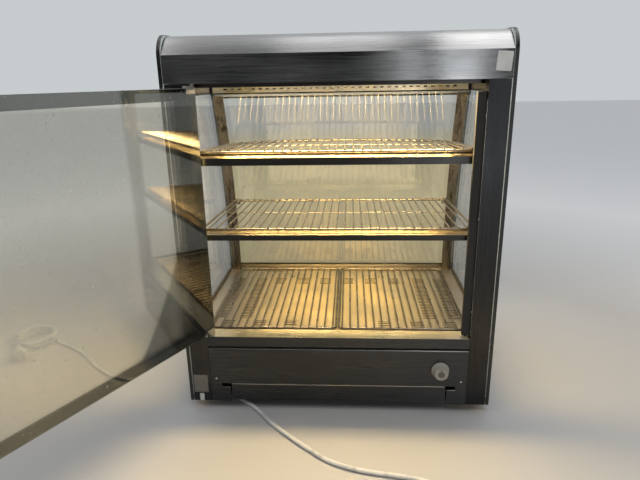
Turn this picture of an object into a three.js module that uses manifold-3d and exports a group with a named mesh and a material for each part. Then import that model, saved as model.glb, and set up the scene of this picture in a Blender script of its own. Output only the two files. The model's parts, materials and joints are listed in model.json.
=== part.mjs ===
// Counter-top food holding cabinet: heated base, lit hood, curved customer glass,
// wire racks and a hinged glass door on the staff side. Millimetres, +Z up.
// In the cabinet's own lengths X = 0 is its middle, Y = 0 its front plane (the door side)
// and Z = 0 the counter. At the end the whole assembly is moved so that the origin is under
// the middle of its outline with the door open.
import * as THREE from "three";
import { mergeVertices } from "three/addons/utils/BufferGeometryUtils.js";
import Module from "manifold-3d";

const wasm = await Module();
wasm.setup();

// ---------- driving dimensions ----------
const GAP = 0.3; // between pieces that touch
const HALF_WIDTH = 371; // to the outer face of a side glass
const SIDE_GLASS = 8;
const SIDE_INNER = HALF_WIDTH - SIDE_GLASS;
const DEPTH = 520; // front plane to the back of the base
const FOOT_HEIGHT = 20;
const SHEET = 1.8; // folded stainless steel
const THIN_SHEET = 1.2;

const POST_OUTER = 361.4; // front posts, from the middle
const POST_INNER = 315.8;
const POST_DEPTH = 40;
const BETWEEN_POSTS = POST_INNER - 0.4;

const PANEL_TOP = 167;
const SILL_BOTTOM = 173;
const SILL_TOP = 199;
const SILL_DEPTH = 43;
const FLOOR_TOP = 198; // perforated floor plate

const HOOD_BOTTOM = 789;
const HOOD_CREASE = 847;
const HOOD_TOP = 888;
const HOOD_NOSE = 60; // depth of the rounded top front edge
const CEILING = 784;
const CHEEK_BOTTOM = 758;

const GLASS = 6; // door and customer glass
const CURVE_RADIUS = 1600; // customer glass, upright at CURVE_FOOT and leaning in above it
const CURVE_FOOT = 200;
const CURVE_BACK = 512; // outer face of that glass at its foot
const FAR_GLASS_TOP = 757;
const REAR_POST_TOP = 752;
const REAR_POST_OFF = 36; // its face in front of that glass's outer face

const DOOR_EDGE = 313; // door glass, from the middle, when closed
const DOOR_BOTTOM = 208;
const DOOR_TOP = 780.5;
const DOOR_FRONT = 1; // outer face behind the front plane, when closed
const PIVOT = { x: -304, y: 6 };
const DOOR_OPEN = THREE.MathUtils.degToRad(117.5);

const DRAWER_HALF = 264.3;
const DRAWER_BOTTOM = 25;
const DRAWER_TOP = 70;
const DRAWER_REACH = 410;

const KNOB = { x: 249, z: 116 };
const LAMP_DOT = { x: 224, z: 114 };
const PANEL_SCREW_Z = 84;

const WIRE_PITCH = 20;
const WIRE = 4;
const RACK_ROD = 6;

const CORD_RADIUS = 5;
const CORD_REST = CORD_RADIUS + 0.05; // height of its middle where it lies down
const GLAND = { x: -150, z: 70 };
const COIL = { x: 345, y: -352, radius: 55, height: 36 };
const PLUG = { start: 38, radius: 18.8, z: 19 }; // start: from where the cord leaves its turns

// ---------- materials ----------
const finish = (color, roughness, metalness) =>
  new THREE.MeshStandardMaterial({ color, roughness, metalness });
const clear = (color, opacity) => {
  const glass = finish(color, 0.08, 0);
  glass.transparent = true;
  glass.opacity = opacity;
  return glass;
};

const brushedSteel = finish(0x8d8f8e, 0.38, 0.95);
const darkSteel = finish(0x5f5e5a, 0.42, 0.9);
const polishedSteel = finish(0xc9c9c6, 0.2, 1);
const wireSteel = finish(0xd8d2c0, 0.25, 1);
const sideGlass = clear(0xdfe8e4, 0.3);
const doorGlass = clear(0x9a9a88, 0.4);
const blackRubber = finish(0x151515, 0.85, 0);
const creamPlastic = finish(0xdcdad0, 0.45, 0);
const amberLens = finish(0x7a3a12, 0.2, 0);
const whiteCeramic = finish(0xe8e4da, 0.6, 0);
const opalCover = clear(0xfff2d0, 0.7);
const heaterSteel = finish(0x55504a, 0.5, 0.9);
const greyCord = finish(0xb9babb, 0.55, 0);

// ---------- making solids ----------
const cabinet = new THREE.Group();

function part(name, geometry, material, parent = cabinet) {
  const mesh = new THREE.Mesh(geometry, material);
  mesh.name = name;
  parent.add(mesh);
  return mesh;
}

function toSolid(geometry) {
  const bare = geometry.clone();
  bare.deleteAttribute("normal");
  bare.deleteAttribute("uv");
  const merged = mergeVertices(bare, 1e-3);
  return new wasm.Manifold(
    new wasm.Mesh({
      numProp: 3,
      vertProperties: new Float32Array(merged.attributes.position.array),
      triVerts: new Uint32Array(merged.index.array),
    }),
  );
}

function toGeometry(solid) {
  const { vertProperties, triVerts } = solid.getMesh();
  const geometry = new THREE.BufferGeometry();
  geometry.setAttribute("position", new THREE.BufferAttribute(vertProperties, 3));
  geometry.setIndex(new THREE.BufferAttribute(triVerts, 1));
  geometry.computeVertexNormals();
  return geometry;
}

const join = (...pieces) => toGeometry(pieces.map(toSolid).reduce((all, piece) => all.add(piece)));
const cut = (body, ...tools) =>
  toGeometry(tools.map(toSolid).reduce((left, tool) => left.subtract(tool), toSolid(body)));

function box(x0, x1, y0, y1, z0, z1) {
  const geometry = new THREE.BoxGeometry(x1 - x0, y1 - y0, z1 - z0);
  return geometry.translate((x0 + x1) / 2, (y0 + y1) / 2, (z0 + z1) / 2);
}

const outline = (points) => new THREE.Shape(points.map(([u, v]) => new THREE.Vector2(u, v)));
const rectangle = (u0, u1, v0, v1) => outline([[u0, v0], [u1, v0], [u1, v1], [u0, v1]]);

function extrude(shape, depth, segments = 6) {
  return new THREE.ExtrudeGeometry(shape, { depth, bevelEnabled: false, curveSegments: segments });
}

// A (Y, Z) outline pulled along X from x0 to x1.
function alongX(shape, x0, x1) {
  const turn = new THREE.Matrix4().makeBasis(
    new THREE.Vector3(0, 1, 0),
    new THREE.Vector3(0, 0, 1),
    new THREE.Vector3(1, 0, 0),
  );
  return extrude(shape, x1 - x0).applyMatrix4(turn).translate(x0, 0, 0);
}

// An (X, Z) outline pulled along Y from y0 to y1.
function alongY(shape, y0, y1) {
  const turn = new THREE.Matrix4().makeBasis(
    new THREE.Vector3(1, 0, 0),
    new THREE.Vector3(0, 0, 1),
    new THREE.Vector3(0, -1, 0),
  );
  return extrude(shape, y1 - y0).applyMatrix4(turn).translate(0, y1, 0);
}

const alongZ = (shape, z0, z1) => extrude(shape, z1 - z0).translate(0, 0, z0);

// The closed outline of a folded sheet: a path and the same path shifted to its left.
function folded(path, thickness) {
  const points = path.map(([u, v]) => new THREE.Vector2(u, v));
  const shifted = points.map((point, i) => {
    const before = points[Math.max(i - 1, 0)];
    const after = points[Math.min(i + 1, points.length - 1)];
    const into = i === 0 ? after.clone().sub(point) : point.clone().sub(before);
    const out = i === points.length - 1 ? into.clone() : after.clone().sub(point);
    const leftIn = new THREE.Vector2(-into.y, into.x).normalize();
    const leftOut = new THREE.Vector2(-out.y, out.x).normalize();
    const mitre = leftIn.clone().add(leftOut).normalize();
    return point.clone().add(mitre.multiplyScalar(thickness / mitre.dot(leftIn)));
  });
  return new THREE.Shape([...points, ...shifted.reverse()]);
}

// A round bar, disc or hole tool; the axis letter says which way it runs.
function cylinder(radius, from, to, axis, [u, v], sides = 20) {
  const geometry = new THREE.CylinderGeometry(radius, radius, to - from, sides);
  const middle = (from + to) / 2;
  if (axis === "x") return geometry.rotateZ(-Math.PI / 2).translate(middle, u, v);
  if (axis === "y") return geometry.translate(u, middle, v);
  return geometry.rotateX(Math.PI / 2).translate(u, v, middle);
}

// A turned piece about the Y axis through (x, z): profile points are (radius, y).
function turnedAlongY(profile, x, z, sides = 24) {
  const points = profile.map(([r, y]) => new THREE.Vector2(r, y));
  return new THREE.LatheGeometry(points, sides).translate(x, 0, z);
}

// A turned piece about the Z axis through (x, y): profile points are (radius, z).
function turnedAlongZ(profile, x, y, sides = 24) {
  const points = profile.map(([r, z]) => new THREE.Vector2(r, z));
  return new THREE.LatheGeometry(points, sides).rotateX(Math.PI / 2).translate(x, y, 0);
}

// A round section pulled along a smooth curve through the points.
function tube(points, radius, sides, steps) {
  const corners = Array.from({ length: sides }, (_, i) => {
    const angle = (2 * Math.PI * i) / sides;
    return new THREE.Vector2(radius * Math.cos(angle), radius * Math.sin(angle));
  });
  const extrudePath = new THREE.CatmullRomCurve3(points.map((p) => new THREE.Vector3(...p)));
  const section = new THREE.Shape(corners);
  return new THREE.ExtrudeGeometry(section, { steps, bevelEnabled: false, extrudePath });
}

const SIDES = [["left", -1], ["right", 1]];
const ordered = (a, b) => [Math.min(a, b), Math.max(a, b)];

// Y of the customer glass's outer face at a height, and a strip that follows that curve.
function curveAt(z) {
  const rise = Math.max(z - CURVE_FOOT, 0);
  return CURVE_BACK - CURVE_RADIUS + Math.sqrt(CURVE_RADIUS ** 2 - rise ** 2);
}

function curvedStrip(z0, z1, outer, inner, steps = 12) {
  const heights = Array.from({ length: steps + 1 }, (_, i) => z0 + ((z1 - z0) * i) / steps);
  const back = heights.map((z) => [curveAt(z) + outer, z]);
  const front = heights.map((z) => [curveAt(z) + inner, z]).reverse();
  return outline([...back, ...front]);
}

// ---------- base ----------
function makeBase() {
  const tub = alongY(
    folded(
      [
        [-345, FLOOR_TOP - 10],
        [-POST_OUTER, FLOOR_TOP - 10],
        [-POST_OUTER, FOOT_HEIGHT],
        [POST_OUTER, FOOT_HEIGHT],
        [POST_OUTER, FLOOR_TOP - 10],
        [345, FLOOR_TOP - 10],
      ],
      SHEET,
    ),
    POST_DEPTH + 2,
    DEPTH,
  );
  const back = box(-POST_OUTER + 1, POST_OUTER - 1, DEPTH - SHEET, DEPTH, FOOT_HEIGHT + 1, FLOOR_TOP - 11);
  const glandHole = cylinder(8.3, DEPTH - 6, DEPTH + 6, "y", [GLAND.x, GLAND.z]);
  part("base_tub", cut(join(tub, back), glandHole), brushedSteel);

  for (const [side, sign] of SIDES) {
    for (const [end, y] of [["front", 66], ["rear", 490]]) {
      const profile = [[0, 0], [19, 0], [20, 2], [17, FOOT_HEIGHT - GAP], [0, FOOT_HEIGHT - GAP]];
      part(`foot_${end}_${side}`, turnedAlongZ(profile, sign * 328, y, 20), blackRubber);
    }
  }

  const sill = alongX(
    folded(
      [
        [12, SILL_BOTTOM],
        [0, SILL_BOTTOM],
        [0, SILL_TOP],
        [SILL_DEPTH, SILL_TOP],
        [SILL_DEPTH, FLOOR_TOP - 8],
      ],
      -SHEET,
    ),
    -BETWEEN_POSTS,
    BETWEEN_POSTS,
  );
  const bushHole = cylinder(4.2, SILL_TOP - 10, SILL_TOP + 5, "z", [PIVOT.x, PIVOT.y]);
  const drainHole = cylinder(3.5, SILL_TOP - 10, SILL_TOP + 5, "z", [307, 18], 12);
  part("front_sill", cut(sill, bushHole, drainHole), brushedSteel);
}

// Short slots running across the cabinet: two rows of groups, four long columns and fixing holes.
function makeFloorPlate() {
  const bottom = FLOOR_TOP - SHEET;
  const slot = { half: 17, width: 4, pitch: 10 };
  const openings = [];
  const slotGroup = (x, firstY, count) => {
    for (let i = 0; i < count; i += 1) {
      const y = firstY + i * slot.pitch;
      openings.push(box(x - slot.half, x + slot.half, y, y + slot.width, bottom - 1, FLOOR_TOP + 1));
    }
  };
  for (const x of [-283, -201, -120, 120, 201, 283]) slotGroup(x, 50, 5);
  for (const x of [-312, -243, 238, 301]) slotGroup(x, 112, 29);
  for (let i = 0; i < 6; i += 1) slotGroup(-183 + i * 69.5, 352, 5);
  for (const [x, y] of [[-151, 410], [-146, 410], [121, 410], [135, 410], [157, 60], [162, 60]]) {
    openings.push(cylinder(3, bottom - 1, FLOOR_TOP + 1, "z", [x, y], 10));
  }
  const plate = box(-POST_OUTER, POST_OUTER, SILL_DEPTH + 0.5, 498, bottom, FLOOR_TOP);
  part("floor_plate", cut(plate, ...openings), darkSteel);

  for (const [side, sign] of SIDES) {
    const across = ordered(sign * (SIDE_INNER - 7), sign * (SIDE_INNER - GAP));
    part(`floor_gasket_${side}`, box(...across, 45, 470, FLOOR_TOP + GAP, FLOOR_TOP + 7), blackRubber);
  }
}

// ---------- control panel and what it carries ----------
function makeControlPanel() {
  const notch = { outer: 288, bottom: 60, top: DRAWER_TOP + 0.5 };
  const opening = DRAWER_HALF + 3.2;
  const faceTop = PANEL_TOP - 3;
  const face = outline([
    [-BETWEEN_POSTS, FOOT_HEIGHT],
    [-opening, FOOT_HEIGHT],
    [-opening, notch.bottom],
    [-notch.outer, notch.bottom],
    [-notch.outer, notch.top],
    [notch.outer, notch.top],
    [notch.outer, notch.bottom],
    [opening, notch.bottom],
    [opening, FOOT_HEIGHT],
    [BETWEEN_POSTS, FOOT_HEIGHT],
    [BETWEEN_POSTS, faceTop],
    [-BETWEEN_POSTS, faceTop],
  ]);
  const screws = [["left", -301], ["right", 301]];
  const rounds = [[KNOB.x, KNOB.z, 4.6], [LAMP_DOT.x, LAMP_DOT.z, 3.4]];
  for (const [, x] of screws) rounds.push([x, PANEL_SCREW_Z, 2.2]);
  face.holes = rounds.map(([x, z, r]) => new THREE.Path().absarc(x, z, r, 0, 2 * Math.PI, true));
  const fold = folded(
    [
      [0, faceTop - 1],
      [0, faceTop],
      [0.9, PANEL_TOP - 0.9],
      [3, PANEL_TOP],
      [22, PANEL_TOP],
    ],
    -SHEET,
  );
  const flange = alongX(fold, -BETWEEN_POSTS, BETWEEN_POSTS);
  part("control_panel", join(alongY(face, 0, SHEET), flange), brushedSteel);

  for (const [side, x] of screws) {
    const profile = [[0, -2.2], [1.8, -2], [3.4, -1.1], [3.4, -GAP], [1.8, -GAP], [1.8, 8], [0, 8]];
    part(`panel_screw_${side}`, turnedAlongY(profile, x, PANEL_SCREW_Z, 12), polishedSteel);
  }

  const lens = [[0, -2.4], [2.6, -1.8], [3.9, -GAP], [3, -GAP], [3, 12], [0, 12]];
  part("indicator_lamp", turnedAlongY(lens, LAMP_DOT.x, LAMP_DOT.z, 14), amberLens);

  const skirt = [[0, -23], [14.5, -23], [16.5, -21], [18.2, -7], [21, -5], [21, -1]];
  skirt.push([3.4, -1], [3.4, -8], [0, -8]);
  const pointer = box(KNOB.x - 1.2, KNOB.x + 1.2, -24, -21, KNOB.z + 2, KNOB.z + 15);
  part("thermostat_knob", join(turnedAlongY(skirt, KNOB.x, KNOB.z, 32), pointer), creamPlastic);
  part("thermostat_spindle", cylinder(3, -7.6, 7.6, "y", [KNOB.x, KNOB.z], 16), polishedSteel);
  const body = join(
    box(KNOB.x - 20, KNOB.x + 20, 9, 34, KNOB.z - 18, KNOB.z + 18),
    cylinder(8, SHEET + GAP, 10, "y", [KNOB.x, KNOB.z], 20),
  );
  part("thermostat_body", cut(body, cylinder(3.1, 0, 8.2, "y", [KNOB.x, KNOB.z], 16)), whiteCeramic);
}

// ---------- crumb tray ----------
function makeDrawer() {
  const front = join(
    box(-DRAWER_HALF, DRAWER_HALF, 0, SHEET, DRAWER_BOTTOM, DRAWER_TOP),
    box(-DRAWER_HALF + 4, DRAWER_HALF - 4, 0, 14, DRAWER_BOTTOM, DRAWER_BOTTOM + SHEET),
  );
  part("crumb_tray_front", front, brushedSteel);
  const tray = { half: 256, rim: 284, floor: 28, top: 63.2 };
  const start = SHEET + GAP;
  const rimStart = start + 14;
  const shell = join(
    box(-tray.half, tray.half, start, DRAWER_REACH, tray.floor, tray.top),
    box(-tray.rim, tray.rim, rimStart, DRAWER_REACH, tray.top - THIN_SHEET, tray.top),
  );
  const inside = tray.half - SHEET;
  const hollow = rectangle(-inside, inside, start + SHEET, DRAWER_REACH - SHEET);
  part("crumb_tray", cut(shell, alongZ(hollow, tray.floor + SHEET, DRAWER_TOP)), darkSteel);
  for (const [side, sign] of SIDES) {
    const rail = alongY(
      folded([[sign * 262, 60], [sign * 292, 60], [sign * 292, 76]], sign * SHEET),
      rimStart,
      DEPTH - SHEET - GAP,
    );
    part(`tray_runner_${side}`, rail, darkSteel);
  }
}

// ---------- heating under the floor plate ----------
function makeHeating() {
  const run = 120;
  const points = [];
  const bend = (x, y, from, to) => {
    for (let i = 0; i <= 6; i += 1) {
      const angle = THREE.MathUtils.degToRad(from + ((to - from) * i) / 6);
      points.push([x + 40 * Math.cos(angle), y + 40 * Math.sin(angle), 150]);
    }
  };
  points.push([-run - 80, 470, 150], [-run - 80, 400, 150], [-run - 80, 300, 150]);
  bend(-run - 40, 160, 180, 360);
  points.push([-run, 260, 150]);
  bend(-run + 40, 360, 180, 0);
  points.push([-run + 80, 260, 150]);
  bend(-run + 120, 160, 180, 360);
  points.push([-run + 160, 260, 150]);
  bend(-run + 200, 360, 180, 0);
  points.push([-run + 240, 260, 150]);
  bend(-run + 280, 160, 180, 360);
  points.push([-run + 320, 300, 150], [-run + 320, 400, 150], [-run + 320, 470, 150]);
  part("heating_element", tube(points, 4, 6, 56), heaterSteel);

  for (const [side, y] of [["front", 205], ["rear", 315]]) {
    const saddle = join(
      box(-230, 230, y - 10, y + 10, 142.6, 144.2),
      box(-230, -228, y - 10, y + 10, 100, 144),
      box(228, 230, y - 10, y + 10, 100, 144),
      box(-262, -229, y - 10, y + 10, 99, 100.6),
      box(229, 262, y - 10, y + 10, 99, 100.6),
    );
    part(`heater_bracket_${side}`, saddle, darkSteel);
  }

  const block = box(-184, -116, 478, 506, 100, 122);
  const entries = [-172, -150, -128].map((x) => cylinder(5, 470, 492, "y", [x, 111], 10));
  part("terminal_block", cut(block, ...entries), whiteCeramic);
}

// ---------- front posts, jamb strips and shelf bars ----------
function makeFrontFrame() {
  for (const [side, sign] of SIDES) {
    const path = [
      [sign * POST_OUTER, POST_DEPTH],
      [sign * POST_OUTER, 0],
      [sign * POST_INNER, 0],
      [sign * POST_INNER, 30],
    ];
    const channel = folded(path, -sign * SHEET);
    part(`front_post_${side}`, alongZ(channel, FOOT_HEIGHT + GAP, HOOD_BOTTOM - 0.4), darkSteel);
  }

  part("magnet_strip", box(296.5, BETWEEN_POSTS, 8, 18, 205, 764), blackRubber);
  part("hinge_seal", box(-BETWEEN_POSTS, -308, 20, 28, 205, 783), blackRubber);

  for (const [name, bottom, top] of [["top", 610.5, 628], ["middle", 434.5, 448.5]]) {
    const path = [[40, bottom], [29, bottom], [29, top], [65, top], [65, top + 6]];
    part(`${name}_shelf_bar`, alongX(folded(path, -SHEET), -BETWEEN_POSTS, BETWEEN_POSTS), darkSteel);
  }
}

// ---------- rear posts and the arms that carry the racks ----------
function makeRearPosts() {
  for (const [side, sign] of SIDES) {
    const outer = sign * 355;
    const face = curvedStrip(FLOOR_TOP + GAP, REAR_POST_TOP, 1.6 - REAR_POST_OFF, -REAR_POST_OFF);
    const flank = curvedStrip(FLOOR_TOP + GAP, REAR_POST_TOP, -13.2, 0.2 - REAR_POST_OFF);
    const pieces = [
      alongX(face, ...ordered(sign * 326, outer)),
      alongX(flank, ...ordered(outer - sign * 1.6, outer)),
    ];
    for (const top of [614.2, 438.8]) {
      const front = curveAt(top) - REAR_POST_OFF;
      pieces.push(box(...ordered(sign * 312, sign * 322), front - 50, front, top - 3, top));
      pieces.push(box(...ordered(sign * 312, sign * 340), front - 3, front + 4, top - 16, top));
      pieces.push(cylinder(7, front - 8, front - 2, "y", [sign * 333, top - 8], 12));
    }
    part(`rear_post_${side}`, join(...pieces), polishedSteel);
  }
}

// ---------- racks ----------
// Wires run front to back on two cross rods and a frame; y is measured from the front rod.
function rackGeometry(halfWidth, depth, wires) {
  const rodTop = RACK_ROD;
  const pieces = [
    box(-halfWidth, halfWidth, 0, RACK_ROD, 0, rodTop),
    box(-halfWidth, halfWidth, depth - RACK_ROD, depth, 0, rodTop),
    box(-halfWidth, -halfWidth + RACK_ROD, 1, depth - 1, 0, rodTop),
    box(halfWidth - RACK_ROD, halfWidth, 1, depth - 1, 0, rodTop),
    box(-halfWidth + 1, halfWidth - 1, depth * 0.5 - 2, depth * 0.5 + 2, 0.5, rodTop - 1.7),
  ];
  for (let i = 0; i < wires; i += 1) {
    const x = (i - (wires - 1) / 2) * WIRE_PITCH;
    pieces.push(box(x - WIRE / 2, x + WIRE / 2, 1, depth - 1, rodTop - 1.4, rodTop - 1.4 + WIRE));
  }
  return join(...pieces);
}

function makeRacks() {
  const place = (name, geometry, x, y, z, tiltDegrees) => {
    const rack = part(name, geometry, wireSteel);
    rack.position.set(x, y, z);
    rack.rotation.x = -THREE.MathUtils.degToRad(tiltDegrees);
  };
  place("top_rack", rackGeometry(322, 345, 31), 0, 38, 636.2, 3.6);
  place("middle_rack", rackGeometry(322, 385, 31), 0, 38, 456, 2.5);
  for (const [side, sign] of SIDES) {
    place(`bottom_rack_${side}`, rackGeometry(161, 430, 16), sign * 161.8, 45, FLOOR_TOP + GAP, 0);
  }
}

// ---------- customer glass, side glasses and hood ----------
function makeGlasses() {
  const far = curvedStrip(CURVE_FOOT - 6, FAR_GLASS_TOP, 0, -GLASS, 16);
  part("far_glass", alongX(far, -POST_OUTER, POST_OUTER), sideGlass);
  const rail = folded([[499.5, 207], [499.5, 190], [518.5, 190], [518.5, 207]], SHEET);
  part("far_glass_rail", alongX(rail, -POST_OUTER, POST_OUTER), brushedSteel);

  const profile = new THREE.Shape();
  profile.moveTo(-0.5, FOOT_HEIGHT + 1);
  profile.lineTo(DEPTH + 1, FOOT_HEIGHT + 1);
  profile.lineTo(DEPTH + 1, CURVE_FOOT);
  for (let z = CURVE_FOOT + 60; z <= 860; z += 60) profile.lineTo(curveAt(z) + 9, z);
  profile.quadraticCurveTo(352, HOOD_TOP + 2, 320, HOOD_TOP + 2);
  profile.lineTo(48, HOOD_TOP + 2);
  profile.absarc(47.5, HOOD_TOP + 2 - 48, 48, Math.PI / 2, Math.PI, false);
  for (const [side, sign] of SIDES) {
    const x0 = sign > 0 ? SIDE_INNER : -HALF_WIDTH;
    part(`side_glass_${side}`, alongX(profile, x0, x0 + SIDE_GLASS), sideGlass);
  }
}

function hoodPath() {
  const points = [[38, HOOD_BOTTOM], [0, HOOD_BOTTOM], [0, HOOD_CREASE]];
  const nose = new THREE.QuadraticBezierCurve(
    new THREE.Vector2(0, HOOD_CREASE),
    new THREE.Vector2(24, HOOD_TOP - 1.5),
    new THREE.Vector2(HOOD_NOSE, HOOD_TOP),
  );
  nose.getPoints(8).slice(1).forEach((p) => points.push([p.x, p.y]));
  const turn = new THREE.QuadraticBezierCurve(
    new THREE.Vector2(318, HOOD_TOP),
    new THREE.Vector2(350, HOOD_TOP),
    new THREE.Vector2(curveAt(852) + 4, 852),
  );
  turn.getPoints(5).forEach((p) => points.push([p.x, p.y]));
  for (const z of [820, 790, 765, 745]) points.push([curveAt(z) + 2.4, z]);
  return points;
}

function makeHood() {
  const path = hoodPath();
  const shell = alongX(folded(path, -1.6), -SIDE_INNER + GAP, SIDE_INNER - GAP);
  const cheek = outline([
    [POST_DEPTH + 1, CHEEK_BOTTOM],
    [POST_DEPTH + 1, HOOD_BOTTOM + 2],
    [0.5, HOOD_BOTTOM + 2],
    ...path.slice(2, -2),
    [curveAt(CHEEK_BOTTOM) - 18, CHEEK_BOTTOM],
  ]);
  const cheeks = [-SIDE_INNER + GAP, SIDE_INNER - GAP - 1.5].map((x) => alongX(cheek, x, x + 1.5));
  const bushHole = cylinder(4.2, HOOD_BOTTOM - 5, HOOD_BOTTOM + 5, "z", [PIVOT.x, PIVOT.y]);
  part("hood_shell", cut(join(shell, ...cheeks), bushHole), brushedSteel);
}

function makeLighting() {
  const window = { half: 290, front: 60, back: 150 };
  const panelHalf = 360.4;
  const front = POST_DEPTH + 1;
  const ceiling = rectangle(-panelHalf, panelHalf, front, 372);
  ceiling.holes = [rectangle(-window.half, window.half, window.front, window.back)];
  const lip = box(-panelHalf, panelHalf, front, front + SHEET, CEILING - 4, HOOD_BOTTOM - GAP);
  part("ceiling_panel", join(alongZ(ceiling, CEILING, CEILING + SHEET), lip), brushedSteel);
  const coverHalf = window.half - 0.5;
  const cover = rectangle(-coverHalf, coverHalf, window.front + 0.5, window.back - 0.5);
  part("lamp_cover", alongZ(cover, CEILING + GAP, CEILING + 4), opalCover);

  const tubeY = (window.front + window.back) / 2;
  const tubeZ = CEILING + 34;
  part("lamp_tube", cylinder(8, -262, 262, "x", [tubeY, tubeZ], 16), opalCover);
  for (const [side, sign] of SIDES) {
    const across = ordered(sign * (262 + GAP), sign * 282);
    const holder = box(...across, tubeY - 12, tubeY + 12, CEILING + 5, tubeZ + 14);
    part(`lamp_holder_${side}`, holder, whiteCeramic);
  }
  const reflector = [
    [tubeY - 50, CEILING + 6],
    [tubeY - 34, tubeZ + 12],
    [tubeY, tubeZ + 26],
    [tubeY + 34, tubeZ + 12],
    [tubeY + 50, CEILING + 6],
  ];
  part("lamp_reflector", alongX(folded(reflector, -THIN_SHEET), -255, 255), polishedSteel);

  const top = CEILING - 5;
  const y = curveAt(top) - 16;
  const header = join(
    box(-356, 356, y, y + 1.5, top - 19, top),
    box(-356, 356, y, y + 12, top - 1.5, top),
  );
  const slots = [];
  for (let i = -16; i <= 16; i += 1) {
    slots.push(box(i * 20 - 5, i * 20 + 5, y - 4, y + 5, top - 11, top - 7));
  }
  part("rear_header", cut(header, ...slots), brushedSteel);
}

// ---------- door ----------
// Drawn closed about its pivot axis, then turned open as a group.
function makeDoor() {
  const door = new THREE.Group();
  const left = -DOOR_EDGE - PIVOT.x;
  const right = DOOR_EDGE - PIVOT.x;
  const front = DOOR_FRONT - PIVOT.y;
  const back = front + GLASS;
  const grip = { x: right - 34, low: 400, high: 600 };
  const gripHoles = [grip.low + 12, grip.high - 12];

  const pane = alongY(rectangle(left, right, DOOR_BOTTOM, DOOR_TOP), front, back);
  const drilled = gripHoles.map((z) => cylinder(4.2, front - 5, back + 5, "y", [grip.x, z], 14));
  part("door_glass", cut(pane, ...drilled), doorGlass, door);

  const ends = [
    ["bottom", SILL_TOP + 4.7, DOOR_BOTTOM - GAP, DOOR_BOTTOM + 12, SILL_TOP - 9],
    ["top", HOOD_BOTTOM - 4, DOOR_TOP + GAP, DOOR_TOP - 12, HOOD_BOTTOM + 8],
  ];
  for (const [end, outside, seat, inside, pinEnd] of ends) {
    const clamp = join(
      box(-6, 20, front - GAP - 1.2, back + GAP + 2.2, ...ordered(outside, seat)),
      box(-6, 20, front - GAP - 1.2, front - GAP, ...ordered(seat, inside)),
      box(-6, 20, back + GAP, back + GAP + 2.2, ...ordered(seat, inside)),
      cylinder(2.5, ...ordered(pinEnd, (outside + seat) / 2), "z", [0, 0], 16),
    );
    part(`door_pivot_${end}`, clamp, polishedSteel, door);
  }

  const bar = tube(
    [
      [grip.x, front - GAP, grip.low + 12],
      [grip.x, front - 18, grip.low + 12],
      [grip.x, front - 30, grip.low + 17],
      [grip.x, front - 34, grip.low + 32],
      [grip.x, front - 34, (grip.low + grip.high) / 2],
      [grip.x, front - 34, grip.high - 32],
      [grip.x, front - 30, grip.high - 17],
      [grip.x, front - 18, grip.high - 12],
      [grip.x, front - GAP, grip.high - 12],
    ],
    6,
    8,
    26,
  );
  const sockets = gripHoles.map((z) => cylinder(2.6, front - 14, front + 2, "y", [grip.x, z], 12));
  part("door_handle", cut(bar, ...sockets), polishedSteel, door);
  for (const [place, z] of [["lower", gripHoles[0]], ["upper", gripHoles[1]]]) {
    const y = back + GAP;
    const profile = [[0, front - 12], [2.2, front - 12], [2.2, y], [7, y], [7, y + 1.4]];
    profile.push([5.6, y + 2.4], [0, y + 2.6]);
    part(`handle_screw_${place}`, turnedAlongY(profile, grip.x, z, 14), polishedSteel, door);
  }

  door.position.set(PIVOT.x, PIVOT.y, 0);
  door.rotation.z = -DOOR_OPEN;
  cabinet.add(door);

  // Flanged bushes: the flange lies on the sheet's face, away is the way to the flange's free side.
  const bore = 2.62;
  for (const [end, face, away] of [["bottom", SILL_TOP, 1], ["top", HOOD_BOTTOM, -1]]) {
    const collar = [face + away * 2.3, face + away * GAP];
    const profile = [
      [bore, face - away * 5],
      [3.9, face - away * 5],
      [3.9, collar[1]],
      [5.4, collar[1]],
      [5.4, collar[0]],
      [bore, collar[0]],
      [bore, face - away * 5],
    ];
    if (away < 0) profile.reverse();
    part(`pivot_bush_${end}`, turnedAlongZ(profile, PIVOT.x, PIVOT.y, 16), creamPlastic);
  }
}

// ---------- mains cord ----------
const cordRoute = [
  [-150, 566.2, 70],
  [-150, 590, 69],
  [-151, 618, 60],
  [-155, 644, 42],
  [-164, 668, 24],
  [-178, 688, 12],
  [-198, 700, 6.6],
  [-222, 702, CORD_REST],
  [-245, 692, CORD_REST],
  [-262, 672, CORD_REST],
  [-271, 645, CORD_REST],
  [-275, 600, CORD_REST],
  [-278, 500, CORD_REST],
  [-284, 380, CORD_REST],
  [-288, 260, CORD_REST],
  [-286, 160, CORD_REST],
  [-275, 80, CORD_REST],
  [-252, 35, CORD_REST],
  [-218, 5, CORD_REST],
  [-193, -21, CORD_REST],
  [-157, -66, CORD_REST],
  [-110, -113, CORD_REST],
  [-60, -157, CORD_REST],
  [-19, -190, CORD_REST],
  [35, -214, CORD_REST],
  [86, -226, CORD_REST],
  [131, -233, CORD_REST],
  [178, -244, CORD_REST],
  [222, -261, CORD_REST],
  [262, -281, CORD_REST],
  [288, -293, CORD_REST],
  [310, -297, CORD_REST],
];

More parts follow.
